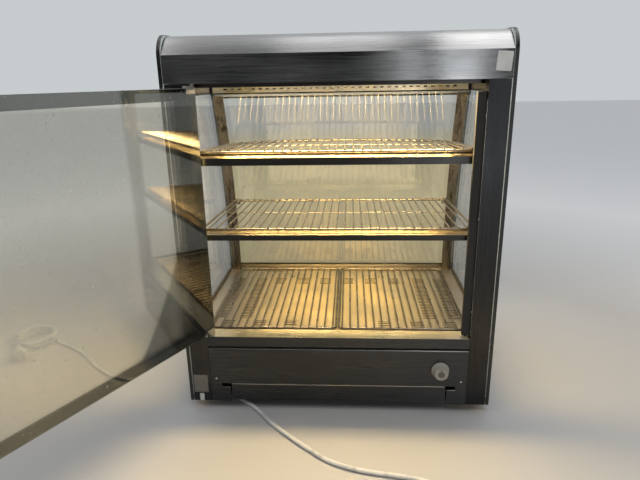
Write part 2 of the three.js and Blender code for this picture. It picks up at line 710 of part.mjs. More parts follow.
function makeCord() {
  const nose = DEPTH + GAP;
  const gland = [[0, nose], [12, nose], [12, nose + 9], [9, nose + 11], [7.2, nose + 14]];
  gland.push([5.6, nose + 45.6], [0, nose + 45.6]);
  const shank = cylinder(8, DEPTH - 12, nose + 2, "y", [GLAND.x, GLAND.z], 20);
  part("cable_gland", join(turnedAlongY(gland, GLAND.x, GLAND.z, 20), shank), blackRubber);
  part("mains_cord", tube(cordRoute, CORD_RADIUS, 8, 72), greyCord);

  const { x, y, radius, height } = COIL;
  const inner = radius - CORD_RADIUS - 0.6;
  const outer = radius + CORD_RADIUS + 0.6;
  const ring = [[inner, 0.05], [outer, 0.05], [outer, height], [inner, height], [inner, 0.05]];
  part("cord_coil", turnedAlongZ(ring, x, y, 36), greyCord);

  // The plug's profile runs from its strain relief to its face; its axis points along -X.
  const relief = PLUG.start;
  const profile = [
    [0, relief],
    [5.6, relief],
    [9, relief + 32],
    [13, relief + 37],
    [PLUG.radius, relief + 44],
    [PLUG.radius, relief + 70],
    [17, relief + 74],
    [0, relief + 74],
  ];
  const body = turnedAlongY(profile, 0, 0, 20).rotateZ(Math.PI / 2);
  const pins = [-9.5, 9.5].map((across) => cylinder(2.4, -relief - 93, -relief - 72, "x", [across, 0], 8));
  part("mains_plug", join(body, ...pins).translate(x, y - radius, PLUG.z), greyCord);
}

// Moves the assembly so that the middle of its outline, cord left out, stands on the origin.
function centreOnOrigin() {
  const onCord = ["cable_gland", "mains_cord", "cord_coil", "mains_plug"];
  cabinet.updateMatrixWorld(true);
  const extent = new THREE.Box3();
  cabinet.traverse((piece) => {
    if (piece.isMesh && !onCord.includes(piece.name)) extent.expandByObject(piece, true);
  });
  const middle = extent.getCenter(new THREE.Vector3());
  cabinet.position.set(-middle.x, -middle.y, 0);
}

makeBase();
makeFloorPlate();
makeControlPanel();
makeDrawer();
makeHeating();
makeFrontFrame();
makeRearPosts();
makeRacks();
makeGlasses();
makeHood();
makeLighting();
makeDoor();
makeCord();
centreOnOrigin();

export default cabinet;
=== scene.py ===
import json
import math

import bmesh
import bpy
from mathutils import Matrix, Vector


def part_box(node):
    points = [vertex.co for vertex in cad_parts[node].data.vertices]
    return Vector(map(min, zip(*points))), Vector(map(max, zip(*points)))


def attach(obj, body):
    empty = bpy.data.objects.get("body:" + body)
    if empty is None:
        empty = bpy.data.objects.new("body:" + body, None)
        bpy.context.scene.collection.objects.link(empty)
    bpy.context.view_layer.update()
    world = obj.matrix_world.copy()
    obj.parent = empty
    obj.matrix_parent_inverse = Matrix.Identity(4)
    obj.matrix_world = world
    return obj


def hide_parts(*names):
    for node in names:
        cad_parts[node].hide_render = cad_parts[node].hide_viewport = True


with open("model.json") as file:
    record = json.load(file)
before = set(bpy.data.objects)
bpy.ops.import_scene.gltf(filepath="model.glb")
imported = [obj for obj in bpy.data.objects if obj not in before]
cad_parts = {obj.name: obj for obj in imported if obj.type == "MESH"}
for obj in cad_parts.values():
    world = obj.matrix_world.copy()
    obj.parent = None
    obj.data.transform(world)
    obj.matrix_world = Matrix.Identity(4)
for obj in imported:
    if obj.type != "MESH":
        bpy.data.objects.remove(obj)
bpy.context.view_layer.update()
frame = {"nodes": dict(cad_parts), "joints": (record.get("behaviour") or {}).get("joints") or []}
nodes = frame["nodes"]
scene = bpy.context.scene
scene.view_settings.view_transform = "Standard"

MM = 0.001
MIDDLE_X = (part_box("side_glass_left")[0].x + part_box("side_glass_right")[1].x) / 2
FRONT_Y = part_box("control_panel")[0].y
DOOR_HINGE = next(joint for joint in frame["joints"] if joint["name"] == "door_hinge")
DOOR_PIVOT = Vector(DOOR_HINGE["pos_m"])
DOOR_SWING = math.radians(DOOR_HINGE["range_deg"][1])  # from the open rest to shut


def at(x, y, z):
    """A point of the cabinet, given in its millimetres."""
    return Vector((MIDDLE_X + x * MM, FRONT_Y + y * MM, z * MM))


# ---------- camera ----------
def make_camera():
    place = at(31.56, -1140.2, 795.9)
    yaw, pitch, roll = -0.0595, 0.2979, 0.0178
    camera = bpy.data.objects.new("camera", bpy.data.cameras.new("camera"))
    camera.data.sensor_width = 36
    camera.data.lens = 29.64
    camera.data.clip_start = 0.05
    level = Vector((math.sin(yaw), math.cos(yaw), 0))
    forward = level * math.cos(pitch) - Vector((0, 0, math.sin(pitch)))
    right = Vector((math.cos(yaw), -math.sin(yaw), 0))
    down = forward.cross(right)
    rolled_right = math.cos(roll) * right + math.sin(roll) * down
    rolled_down = math.cos(roll) * down - math.sin(roll) * right
    turn = Matrix((rolled_right, -rolled_down, -forward)).transposed()
    camera.matrix_world = Matrix.Translation(place) @ turn.to_4x4()
    scene.collection.objects.link(camera)
    scene.camera = camera


make_camera()


# ---------- materials ----------
class Shader:
    """A material's node tree, with short calls for the nodes it is made of."""

    def __init__(self, name):
        self.material = bpy.data.materials.new(name)
        self.material.use_nodes = True
        self.tree = self.material.node_tree
        self.tree.nodes.clear()
        self.output = self.tree.nodes.new("ShaderNodeOutputMaterial")
        surface = self.add("ShaderNodeTexCoord")
        self.place = surface.outputs["Object"]
        self.normal = surface.outputs["Normal"]

    def add(self, kind, **inputs):
        node = self.tree.nodes.new(kind)
        for name, value in inputs.items():
            self.feed(node, name.replace("_", " "), value)
        return node

    def feed(self, node, name, value):
        socket = node.inputs[int(name)] if name.isdigit() else node.inputs[name]
        if isinstance(value, bpy.types.NodeSocket):
            self.tree.links.new(value, socket)
        else:
            socket.default_value = value

    def noise(self, scale, detail=3.0, stretch=(1, 1, 1), roughness=0.5):
        mapping = self.add("ShaderNodeMapping", Vector=self.place, Scale=stretch)
        texture = self.add("ShaderNodeTexNoise", Vector=mapping.outputs[0])
        for name, value in (("Scale", scale), ("Detail", detail), ("Roughness", roughness)):
            self.feed(texture, name, value)
        return texture.outputs["Fac"]

    def remap(self, value, low, high, to_low, to_high):
        limits = {"From_Min": low, "From_Max": high, "To_Min": to_low, "To_Max": to_high}
        return self.add("ShaderNodeMapRange", Value=value, **limits).outputs["Result"]

    def ramp(self, value, *stops):
        node = self.add("ShaderNodeValToRGB", Fac=value)
        marks = node.color_ramp.elements
        while len(marks) < len(stops):
            marks.new(0.5)
        for mark, (position, colour) in zip(marks, stops):
            mark.position = position
            mark.color = (*colour, 1)
        return node.outputs["Color"]

    def math(self, operation, a, b=0.0):
        node = self.tree.nodes.new("ShaderNodeMath")
        node.operation = operation
        self.feed(node, "0", a)
        self.feed(node, "1", b)
        return node.outputs[0]

    def blend(self, factor, a, b, kind="MIX"):
        node = self.tree.nodes.new("ShaderNodeMix")
        node.data_type = "RGBA"
        node.blend_type = kind
        self.feed(node, "0", factor)
        for index, value in (("6", a), ("7", b)):
            self.feed(node, index, (*value, 1) if isinstance(value, tuple) else value)
        return node.outputs[2]

    def dot(self, vector, direction):
        node = self.tree.nodes.new("ShaderNodeVectorMath")
        node.operation = "DOT_PRODUCT"
        self.feed(node, "0", vector)
        self.feed(node, "1", direction)
        return node.outputs["Value"]

    def bump(self, height, strength, distance):
        return self.add("ShaderNodeBump", Height=height, Strength=strength, Distance=distance).outputs[0]

    def principled(self, colour, roughness, normal=None, **fixed):
        node = self.add("ShaderNodeBsdfPrincipled", Base_Color=colour, Roughness=roughness, **fixed)
        if normal is not None:
            self.feed(node, "Normal", normal)
        return node.outputs[0]

    def shows(self, shader):
        self.tree.links.new(shader, self.output.inputs["Surface"])
        return self.material


ALONG_X = (1.2, 90, 90)
ALONG_Y = (90, 1.2, 90)
ALONG_Z = (90, 90, 1.2)
UP = (0, 0, 1)
UNDER_STREAKS = 1.2  # makes up for what the streaks take off a tone
ACROSS_GRAIN = 0.25  # of a turn: highlights spread across the grain


def brushed(name, colour, grain, roughness, smears, painted_top_light=None, lit_gloss=0.0, recess=0.012):
    """Brushed stainless sheet: fine scratches along the grain, broad smears, and painted shade darkening its
    corners.

    The tone after colour, if given, is a painted highlight: the lighter tone of its upward faces, for the
    light that falls on them. recess is how far the painted shade in its corners reaches, and a wide one is
    painted darker.
    """
    s = Shader(name)
    scratches = s.noise(9, 4, grain, 0.65)
    patches = s.noise(5.5, 4)
    wiped = s.noise(14, 3, tuple(0.35 + g / 60 for g in grain))
    # Painted highlight: upward faces take the lighter tone, for the light falling on them.
    upward = s.remap(s.dot(s.normal, UP), 0.3, 0.8, 0, 1)
    side_tone, painted_top_tone = (tuple(c * UNDER_STREAKS for c in t) for t in (colour, painted_top_light or colour))
    base = s.blend(upward, side_tone, painted_top_tone)
    streaks = s.ramp(scratches, (0.3, (0.62,) * 3), (0.52, (0.83,) * 3), (0.74, (1.0,) * 3))
    tone = s.blend(1.0, base, streaks, "MULTIPLY")
    brown = s.blend(1.0, tone, (0.86, 0.8, 0.7), "MULTIPLY")
    tone = s.blend(s.remap(patches, 0.42, 0.72, 0, smears), tone, brown)
    # Painted shade: corners darken by how much they are occluded, darker still where recess is wide.
    corners = s.add("ShaderNodeAmbientOcclusion", Distance=recess).outputs["AO"]
    painted_corner_shade = 0.5 if recess < 0.02 else 0.9
    tone = s.blend(s.remap(corners, 0.35, 0.9, painted_corner_shade, 0), tone, (0.03, 0.025, 0.02))
    dull = s.remap(s.math("ADD", patches, wiped), 0.7, 1.35, roughness - 0.07, roughness + 0.12)
    gloss = s.math("ADD", dull, s.remap(scratches, 0.3, 0.7, -0.05, 0.05))
    gloss = s.math("ADD", gloss, s.math("MULTIPLY", upward, lit_gloss))
    relief = s.bump(scratches, 0.16, 0.0004)
    along = s.add("ShaderNodeCombineXYZ")
    for socket, stretch in zip(along.inputs, grain):
        socket.default_value = 1.0 if stretch == min(grain) else 0.0
    stretched = {"Anisotropic": 0.85, "Anisotropic_Rotation": ACROSS_GRAIN}
    shader = s.principled(tone, gloss, relief, Metallic=1.0, **stretched)
    s.feed(shader.node, "Tangent", along.outputs[0])
    return s.shows(shader)


def polished(name, colour, roughness, tint=(0.5, 0.38, 0.22), tinted=0.35, stretch=(1, 1, 1)):
    """Bright drawn steel, browned in patches by heat and handled in others."""
    s = Shader(name)
    patches = s.noise(16, 4, stretch)
    fine = s.noise(320, 3)
    tone = s.blend(s.remap(patches, 0.45, 0.7, 0, tinted), tuple(colour), tint)
    tone = s.blend(s.remap(fine, 0.3, 0.7, 0, 0.25), tone, tuple(c * 0.6 for c in colour))
    gloss = s.remap(patches, 0.3, 0.7, roughness, roughness + 0.14)
    return s.shows(s.principled(tone, gloss, s.bump(fine, 0.08, 0.0003), Metallic=1.0))


def satin(name, colour, worn, roughness, grain_scale=900, relief=0.15):
    """A moulded or ceramic surface: fine texture, slight colour change and handling marks."""
    s = Shader(name)
    broad = s.noise(24, 4)
    fine = s.noise(grain_scale, 2)
    tone = s.blend(s.remap(broad, 0.4, 0.75, 0, 0.7), tuple(colour), tuple(worn))
    tone = s.blend(s.remap(fine, 0.3, 0.7, 0, 0.15), tone, tuple(c * 0.7 for c in colour))
    gloss = s.remap(broad, 0.3, 0.7, roughness - 0.08, roughness + 0.1)
    return s.shows(s.principled(tone, gloss, s.bump(fine, relief, 0.0002)))


def lamp_lit_plate():
    """The perforated plate: a painted pool of warm light makes it straw and bright in the middle and greyer
    round that, and painted shade darkens it in its slots.
    """
    s = Shader("floor_steel")
    low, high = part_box("floor_plate")
    middle = (low + high) / 2
    reach = (high - low) / 2
    scratches = s.noise(9, 4, ALONG_X, 0.65)
    patches = s.noise(9, 4)
    across = s.math("ABSOLUTE", s.math("SUBTRACT", s.dot(s.place, (1, 0, 0)), middle.x))
    along = s.math("ABSOLUTE", s.math("SUBTRACT", s.dot(s.place, (0, 1, 0)), middle.y))
    # Painted light: a pool of the lamp's warm light, straw in the middle and fading to grey steel at the
    # sides.
    sideways = s.remap(across, reach.x * 0.3, reach.x * 0.8, 1, 0)
    painted_light_pool = s.math("MULTIPLY", sideways, s.remap(along, reach.y * 0.5, reach.y * 1.3, 1, 0))
    painted_light_pool = s.math("MULTIPLY", painted_light_pool, s.remap(patches, 0.3, 0.6, 0.75, 1))
    steel = s.blend(s.remap(scratches, 0.3, 0.7, 0, 1), (0.28, 0.265, 0.25), (0.37, 0.35, 0.325))
    straw = s.blend(s.remap(scratches, 0.3, 0.7, 0, 1), (0.8, 0.63, 0.34), (0.87, 0.69, 0.39))
    tone = s.blend(painted_light_pool, steel, straw)
    crumbs = s.noise(160, 2)
    tone = s.blend(s.remap(crumbs, 0.68, 0.76, 0, 0.6), tone, (0.12, 0.08, 0.05))
    # Painted shade: faces that do not face up, the slot walls and edges, are made near black.
    upright = s.remap(s.math("ABSOLUTE", s.dot(s.normal, UP)), 0.4, 0.8, 1, 0)
    tone = s.blend(upright, tone, (0.018, 0.014, 0.01))
    gloss = s.remap(patches, 0.3, 0.7, 0.3, 0.46)
    return s.shows(s.principled(tone, gloss, s.bump(scratches, 0.14, 0.0004), Metallic=0.9))


def pane(s, tint, mirror, dust=0.03, slanted=0.9):
    """Glass that lets light through, mirrors more at a slant, and carries dust and wiping marks."""
    wiped = s.noise(7, 5, (1, 1, 0.35), 0.6)
    specks = s.noise(210, 1)
    slant = s.add("ShaderNodeLayerWeight", Blend=0.28).outputs["Fresnel"]
    shine = s.remap(slant, 0, 1, mirror, slanted)
    clear = s.add("ShaderNodeBsdfTransparent", Color=tint).outputs[0]
    gloss = s.principled((0.93, 0.95, 0.94, 1), s.remap(wiped, 0.35, 0.75, 0.01, 0.05), Metallic=1.0)
    glass = s.add("ShaderNodeMixShader", Fac=shine)
    s.feed(glass, "1", clear)
    s.feed(glass, "2", gloss)
    film = s.math("ADD", s.remap(wiped, 0.45, 0.8, 0, dust), s.remap(specks, 0.7, 0.78, 0, 0.35))
    haze = s.principled((0.55, 0.55, 0.5, 1), 0.6)
    dusty = s.add("ShaderNodeMixShader", Fac=film)
    s.feed(dusty, "1", glass.outputs[0])
    s.feed(dusty, "2", haze)
    return dusty.outputs[0]


def edged(s, glass, faced, edge_colour):
    """Turns a pane's narrow sides into the glass seen edge on. faced is 1 on its two faces."""
    rim = s.principled(edge_colour, s.remap(s.noise(60), 0.3, 0.7, 0.2, 0.45))
    mix = s.add("ShaderNodeMixShader", Fac=faced)
    s.feed(mix, "1", rim)
    s.feed(mix, "2", glass)
    return mix.outputs[0]


def side_pane():
    s = Shader("side_glass")
    faced = s.math("GREATER_THAN", s.math("ABSOLUTE", s.dot(s.normal, (1, 0, 0))), 0.7)
    glass = pane(s, (0.96, 0.965, 0.95, 1), 0.06, 0.05, 0.5)
    return s.shows(edged(s, glass, faced, (0.012, 0.014, 0.013, 1)))


def customer_pane():
    s = Shader("customer_glass")
    up = s.math("ABSOLUTE", s.dot(s.normal, UP))
    faced = s.math("LESS_THAN", s.math("ADD", up, s.math("ABSOLUTE", s.dot(s.normal, (1, 0, 0)))), 0.7)
    rise = s.remap(s.dot(s.place, UP), 0.6, 0.66, 0, 1)
    tint = s.blend(rise, (0.95, 0.89, 0.7), (0.9, 0.9, 0.87))
    glass = pane(s, tint, 0.1, 0.06)
    return s.shows(edged(s, glass, faced, (0.5, 0.62, 0.56, 1)))


def door_pane():
    """Grey glass with a darker printed border, painted darker towards the bottom for the shade there. across
    runs from the hinge to the free edge.
    """
    s = Shader("door_glass")
    low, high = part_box("door_glass")
    along = Vector((math.cos(DOOR_SWING), -math.sin(DOOR_SWING), 0))
    across = s.math("SUBTRACT", s.dot(s.place, along), along.dot(DOOR_PIVOT))
    height = s.dot(s.place, UP)
    width = 0.617
    hinge_border, free_border, bottom_border, top_border = 0.056, 0.065, 0.026, 0.0245
    borders = [
        s.math("LESS_THAN", across, hinge_border),
        s.math("GREATER_THAN", across, width - free_border),
        s.math("LESS_THAN", height, low.z + bottom_border),
        s.math("GREATER_THAN", height, high.z - top_border),
    ]
    border = borders[0]
    for other in borders[1:]:
        border = s.math("MAXIMUM", border, other)
    rise = s.remap(height, low.z, high.z, 0, 1)
    # The border is real print; its darkening towards the bottom is painted shade.
    print_and_painted_shade = s.blend(rise, (0.17, 0.17, 0.145), (0.36, 0.365, 0.33))
    tint = s.blend(border, (0.86, 0.845, 0.79), print_and_painted_shade)
    glass = pane(s, tint, 0.09, 0.04)
    outward = Vector((-along.y, along.x, 0))
    faced = s.math("GREATER_THAN", s.math("ABSOLUTE", s.dot(s.normal, outward)), 0.7)
    return s.shows(edged(s, glass, faced, (0.6, 0.62, 0.55, 1)))


def lit_cover():
    s = Shader("opal_cover")
    cloud = s.noise(30, 3)
    tone = s.blend(s.remap(cloud, 0.3, 0.7, 0, 1), (1.0, 0.82, 0.48), (1.0, 0.76, 0.38))
    gloss = s.remap(cloud, 0.3, 0.7, 0.3, 0.45)
    shader = s.principled(tone, gloss, Emission_Strength=5.0)
    s.feed(shader.node, "Emission Color", tone)
    return s.shows(shader)


def sheath():
    """The cord's light grey sheath: a soft sheen, scuffs and a fine moulded grain."""
    s = Shader("cord_sheath")
    scuffs = s.noise(45, 4)
    fine = s.noise(700, 2)
    tone = s.ramp(scuffs, (0.32, (0.5, 0.51, 0.52)), (0.5, (0.64, 0.65, 0.66)), (0.72, (0.7, 0.71, 0.73)))
    gloss = s.remap(scuffs, 0.3, 0.7, 0.42, 0.62)
    return s.shows(s.principled(tone, gloss, s.bump(fine, 0.12, 0.0002)))


PANEL = (0.056, 0.059, 0.064)
DARK = (0.042, 0.041, 0.039)
# Painted highlight: the golden tone of the bars' upward faces, for the lamp's warm light on them.
PAINTED_GOLD_HIGHLIGHT = (0.6, 0.5, 0.32)
# The second tone given to brushed() for the hood, panel, sill and bars is a painted highlight on their upward
# faces.
materials = {
    "hood": brushed("hood_steel", (0.17, 0.172, 0.173), ALONG_X, 0.18, 0.3, (0.37, 0.372, 0.375), 0.08),
    "panel": brushed("panel_steel", PANEL, ALONG_X, 0.3, 0.15, (0.6, 0.6, 0.58)),
    "sill": brushed("sill_steel", PANEL, ALONG_X, 0.3, 0.5, (0.82, 0.72, 0.5)),
    "post": brushed("post_steel", (0.045, 0.0455, 0.0465), ALONG_Z, 0.28, 0.15),
    # Its wide recess paints deep shade into the corners of the tub and brackets.
    "sheet": brushed("sheet_steel", (0.2, 0.195, 0.18), ALONG_Y, 0.36, 0.7, recess=0.07),
    "inner": brushed("inner_steel", DARK, ALONG_Y, 0.4, 0.7),
    "rail": brushed("rail_steel", (0.34, 0.31, 0.25), ALONG_X, 0.34, 0.6),
    "floor": lamp_lit_plate(),
    "bar": brushed("bar_steel", DARK, ALONG_X, 0.28, 0.5, PAINTED_GOLD_HIGHLIGHT),
    # Partly painted light: this steel is given a bright golden tone for the lamp's warm light falling on it.
    "lining": brushed("lining_steel", (0.95, 0.88, 0.68), ALONG_X, 0.34, 0.1),
    "bright": polished("bright_steel", (0.5, 0.49, 0.47), 0.14),
    "rear_post": polished(
        "rear_post_steel", (0.26, 0.23, 0.185), 0.18, (0.05, 0.036, 0.022), 1.0, (6, 6, 0.25)
    ),
    "wire": polished("wire_steel", (0.24, 0.22, 0.185), 0.24, (0.13, 0.1, 0.07), 0.6),
    "element": polished("element_steel", (0.2, 0.17, 0.15), 0.3, (0.12, 0.1, 0.16), 0.8),
    "rubber": satin("black_rubber", (0.012, 0.012, 0.012), (0.03, 0.03, 0.03), 0.66, 600, 0.3),
    "cream": satin("cream_plastic", (0.42, 0.41, 0.37), (0.24, 0.225, 0.19), 0.36, 260, 0.3),
    "mark": satin("grey_mark", (0.09, 0.09, 0.09), (0.15, 0.15, 0.14), 0.5),
    # Painted highlight: the seal's pale bluish colour stands in for the light along the glass's top edge.
    "seal": satin("seal_painted_highlight", (0.72, 0.82, 0.95), (0.66, 0.74, 0.84), 0.3),
    "ceramic": satin("white_ceramic", (0.74, 0.71, 0.65), (0.6, 0.56, 0.5), 0.6, 500),
    "amber": satin("amber_lens", (0.06, 0.02, 0.008), (0.1, 0.035, 0.01), 0.16, 300, 0.05),
    "label": satin("blank_label", (0.7, 0.71, 0.7), (0.55, 0.55, 0.53), 0.4, 500, 0.1),
    "plate": brushed("blank_plate", (0.24, 0.24, 0.23), ALONG_X, 0.4, 0.3),
    "sheath": sheath(),
    "side_pane": side_pane(),
    "customer_pane": customer_pane(),
    "door_pane": door_pane(),
    "opal": lit_cover(),
}

LOOKS = {
    "hood": ["hood_shell"],
    "panel": ["control_panel", "crumb_tray_front"],
    "sill": ["front_sill"],
    "post": ["front_post_left", "front_post_right"],
    "sheet": ["base_tub", "heater_bracket_front", "heater_bracket_rear"],
    "inner": ["crumb_tray", "tray_runner_left", "tray_runner_right"],
    "rail": ["far_glass_rail"],
    "floor": ["floor_plate"],
    "bar": ["top_shelf_bar", "middle_shelf_bar", "ceiling_panel"],
    "lining": ["rear_header", "lamp_reflector"],
    "bright": [
        "door_pivot_bottom",
        "door_pivot_top",
        "thermostat_spindle",
        "handle_screw_lower",
        "handle_screw_upper",
    ],
    "rear_post": ["rear_post_left", "rear_post_right"],
    "element": ["heating_element"],
    "rubber": [
        "foot_front_left",
        "foot_front_right",
        "foot_rear_left",
        "foot_rear_right",
        "floor_gasket_left",
        "floor_gasket_right",
        "magnet_strip",
        "hinge_seal",
    ],
    "cream": ["pivot_bush_bottom", "pivot_bush_top"],
    "ceramic": ["thermostat_body", "terminal_block", "lamp_holder_left", "lamp_holder_right"],
    "amber": ["indicator_lamp"],
    "side_pane": ["side_glass_left", "side_glass_right"],
    "customer_pane": ["far_glass"],
    "door_pane": ["door_glass"],
    "opal": ["lamp_cover", "lamp_tube"],
}


def smoothing_group():
    """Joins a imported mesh's loose corners, drops its flat normals and keeps edges over 28 degrees sharp."""
    group = bpy.data.node_groups.new("smooth_by_angle", "GeometryNodeTree")
    group.interface.new_socket("Geometry", in_out="INPUT", socket_type="NodeSocketGeometry")
    group.interface.new_socket("Geometry", in_out="OUTPUT", socket_type="NodeSocketGeometry")
    make = group.nodes.new
    merge = make("GeometryNodeMergeByDistance")
    merge.inputs["Distance"].default_value = 0.00002
    drop = make("GeometryNodeRemoveAttribute")
    drop.inputs["Name"].default_value = "custom_normal"
    faces = make("GeometryNodeSetShadeSmooth")
    faces.inputs["Shade Smooth"].default_value = True
    edges = make("GeometryNodeSetShadeSmooth")
    edges.domain = "EDGE"
    edges.inputs["Shade Smooth"].default_value = False
    angle = make("GeometryNodeInputMeshEdgeAngle")
    sharp = make("FunctionNodeCompare")
    sharp.data_type = "FLOAT"
    sharp.operation = "GREATER_THAN"
    sharp.inputs[1].default_value = math.radians(28)
    link = group.links.new
    link(angle.outputs["Unsigned Angle"], sharp.inputs[0])
    link(sharp.outputs[0], edges.inputs["Selection"])
    geometry = make("NodeGroupInput").outputs[0]
    for step in (merge, drop, faces, edges):
        link(geometry, step.inputs["Geometry"])
        geometry = step.outputs["Geometry"]
    link(geometry, make("NodeGroupOutput").inputs[0])
    return group


def soften(obj, width, group=None):
    """Rounds sharp edges by a small bevel. A group, if given, joins and smooths the mesh first."""
    if group is not None:
        smooth = obj.modifiers.new("smooth", "NODES")
        smooth.node_group = group
    bevel = obj.modifiers.new("edges", "BEVEL")
    bevel.width = width
    bevel.segments = 2
    bevel.limit_method = "ANGLE"
    bevel.angle_limit = math.radians(40)
    bevel.harden_normals = True


def dress_cad():
    group = smoothing_group()
    small_bevels = {"floor_plate": 0.0002, "rear_header": 0.0002}
    for look, names in LOOKS.items():
        for name in names:
            obj = nodes[name]
            obj.data.materials.clear()
            obj.data.materials.append(materials[look])
            soften(obj, small_bevels.get(name, 0.0005), group)


dress_cad()


# ---------- making pieces: their radii, profiles and sizes are in millimetres ----------
def finish_piece(obj, look, body="cabinet", replaced=()):
    obj.data.materials.append(materials[look])
    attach(obj, body)
    if replaced:
        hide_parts(*replaced)
    return obj


def mesh_piece(name, bm, smooth=True):
    bmesh.ops.recalc_face_normals(bm, faces=bm.faces)
    mesh = bpy.data.meshes.new(name)
    bm.to_mesh(mesh)
    bm.free()
    if smooth:
        mesh.shade_smooth()
        mesh.set_sharp_from_angle(angle=math.radians(32))
    obj = bpy.data.objects.new(name, mesh)
    scene.collection.objects.link(obj)
    return obj


def curve_piece(name, radius, sides=3):
    curve = bpy.data.curves.new(name, "CURVE")
    curve.dimensions = "3D"
    curve.bevel_depth = radius * MM
    curve.bevel_resolution = sides
    curve.use_fill_caps = True
    obj = bpy.data.objects.new(name, curve)
    scene.collection.objects.link(obj)
    return obj


def add_line(curve, points, scale=1.0, closed=False):
    spline = curve.splines.new("POLY")
    spline.points.add(len(points) - 1)
    for target, point in zip(spline.points, points):
        target.co = (*point, 1)
        target.radius = scale
    spline.use_cyclic_u = closed
    spline.use_smooth = True


def smooth_path(points, steps=4):
    """Points along the centripetal curve through the given points."""
    points = [Vector(p) for p in points]
    run = [2 * points[0] - points[1], *points, 2 * points[-1] - points[-2]]
    path = []
    for a, b, c, d in zip(run, run[1:], run[2:], run[3:]):
        before, here, after = (math.sqrt((q - p).length) for p, q in ((a, b), (b, c), (c, d)))
        leaving = ((b - a) / before - (c - a) / (before + here) + (c - b) / here) * here
        arriving = ((c - b) / here - (d - b) / (here + after) + (d - c) / after) * here
        for i in range(steps):
            t = i / steps
            ahead = t * t * (3 - 2 * t)
            path.append(b + (c - b) * ahead + leaving * t * (1 - t) ** 2 - arriving * t * t * (1 - t))
    path.append(points[-1])
    return path


def turned(bm, profile, root, sides=32, shape=None):
    """Adds a solid turned about root's +Z. profile holds (radius, along); shape may change a radius."""
    rings = []
    for radius, along in profile:
        ring = []
        for i in range(sides):
            angle = 2 * math.pi * i / sides
            r = shape(radius, along, angle) if shape else radius
            point = Vector((r * math.cos(angle), r * math.sin(angle), along))
            ring.append(bm.verts.new(root @ (point * MM)))
        rings.append(ring)
    for below, above in zip(rings, rings[1:]):
        for i in range(sides):
            j = (i + 1) % sides
            bm.faces.new((below[i], below[j], above[j], above[i]))
    bm.faces.new(rings[0][::-1])
    bm.faces.new(rings[-1])


def rounded_outline(half_width, half_height, radius):
    """Points round a rectangle with round corners, about its middle."""
    points = []
    for sign_x, sign_y, start in ((1, 1, 0), (-1, 1, 90), (-1, -1, 180), (1, -1, 270)):
        for step in range(5):
            angle = math.radians(start + 22.5 * step)
            x = sign_x * (half_width - radius) + radius * math.cos(angle)
            y = sign_y * (half_height - radius) + radius * math.sin(angle)
            points.append((x, y))
    return points


def prism(bm, near, far):
    """Adds the solid between two outlines of as many points each."""
    rings = [[bm.verts.new(point) for point in outline] for outline in (near, far)]
    count = len(near)
    for i in range(count):
        j = (i + 1) % count
        bm.faces.new((rings[0][i], rings[0][j], rings[1][j], rings[1][i]))
    bm.faces.new(rings[0][::-1])
    bm.faces.new(rings[1])


def second_look(obj, look, chosen):
    """Gives a second material to the faces whose middle is chosen."""
    obj.data.materials.append(materials[look])
    for polygon in obj.data.polygons:
        if chosen(polygon.center):
            polygon.material_index = 1


def facing(origin, axis):
    """A frame at origin whose +Z runs along axis."""
    turn = Vector(axis).to_track_quat("Z", "Y").to_matrix().to_4x4()
    return Matrix.Translation(origin) @ turn


# ---------- mains cord ----------
CORD_RADIUS = 5
CORD_REST = 5.05
COIL_X, COIL_Y, COIL_RADIUS = 345, -352, 55
COIL_TURNS = 2.5
TURN_STEPS = 20
TURN_RISE = 10
PLUG_START, PLUG_FACE = 38, 112  # from where the cord leaves its turns
PLUG_Z = 19
GLAND_X, GLAND_Y, GLAND_Z = -150, 520.3, 70
CORD_ROUTE = [
    (GLAND_X, 566.2, GLAND_Z),
    (-150, 590, 69),
    (-151, 618, 60),
    (-155, 644, 42),
    (-164, 668, 24),
    (-178, 688, 12),
    (-198, 700, 6.6),
    (-222, 702, CORD_REST),
    (-245, 692, CORD_REST),
    (-262, 672, CORD_REST),
    (-271, 645, CORD_REST),
    (-275, 600, CORD_REST),
    (-278, 500, CORD_REST),
    (-284, 380, CORD_REST),
    (-288, 260, CORD_REST),
    (-286, 160, CORD_REST),
    (-275, 80, CORD_REST),
    (-252, 35, CORD_REST),
    (-218, 5, CORD_REST),
    (-193, -21, CORD_REST),
    (-157, -66, CORD_REST),
    (-110, -113, CORD_REST),
    (-60, -157, CORD_REST),
    (-19, -190, CORD_REST),
    (35, -214, CORD_REST),
    (86, -226, CORD_REST),
    (131, -233, CORD_REST),
    (178, -244, CORD_REST),
    (222, -261, CORD_REST),
    (262, -281, CORD_REST),
    (288, -293, CORD_REST),
    (310, -297, CORD_REST),
]


def coil_points():
    """Turns from the end of the route, clockwise from above, then the tail down to the plug."""
    points = []
    for i in range(int(COIL_TURNS * TURN_STEPS) + 1):
        angle = math.pi / 2 - 2 * math.pi * i / TURN_STEPS
        x = COIL_X + COIL_RADIUS * math.cos(angle)
        y = COIL_Y + COIL_RADIUS * math.sin(angle)
        points.append((x, y, CORD_REST + TURN_RISE * i / TURN_STEPS))
    top = points[-1][2]
    for share in (0.35, 0.7, 1.0):
        eased = share * share * (3 - 2 * share)
        points.append((COIL_X - PLUG_START * share, COIL_Y - COIL_RADIUS, top + (PLUG_Z - top) * eased))
    return points


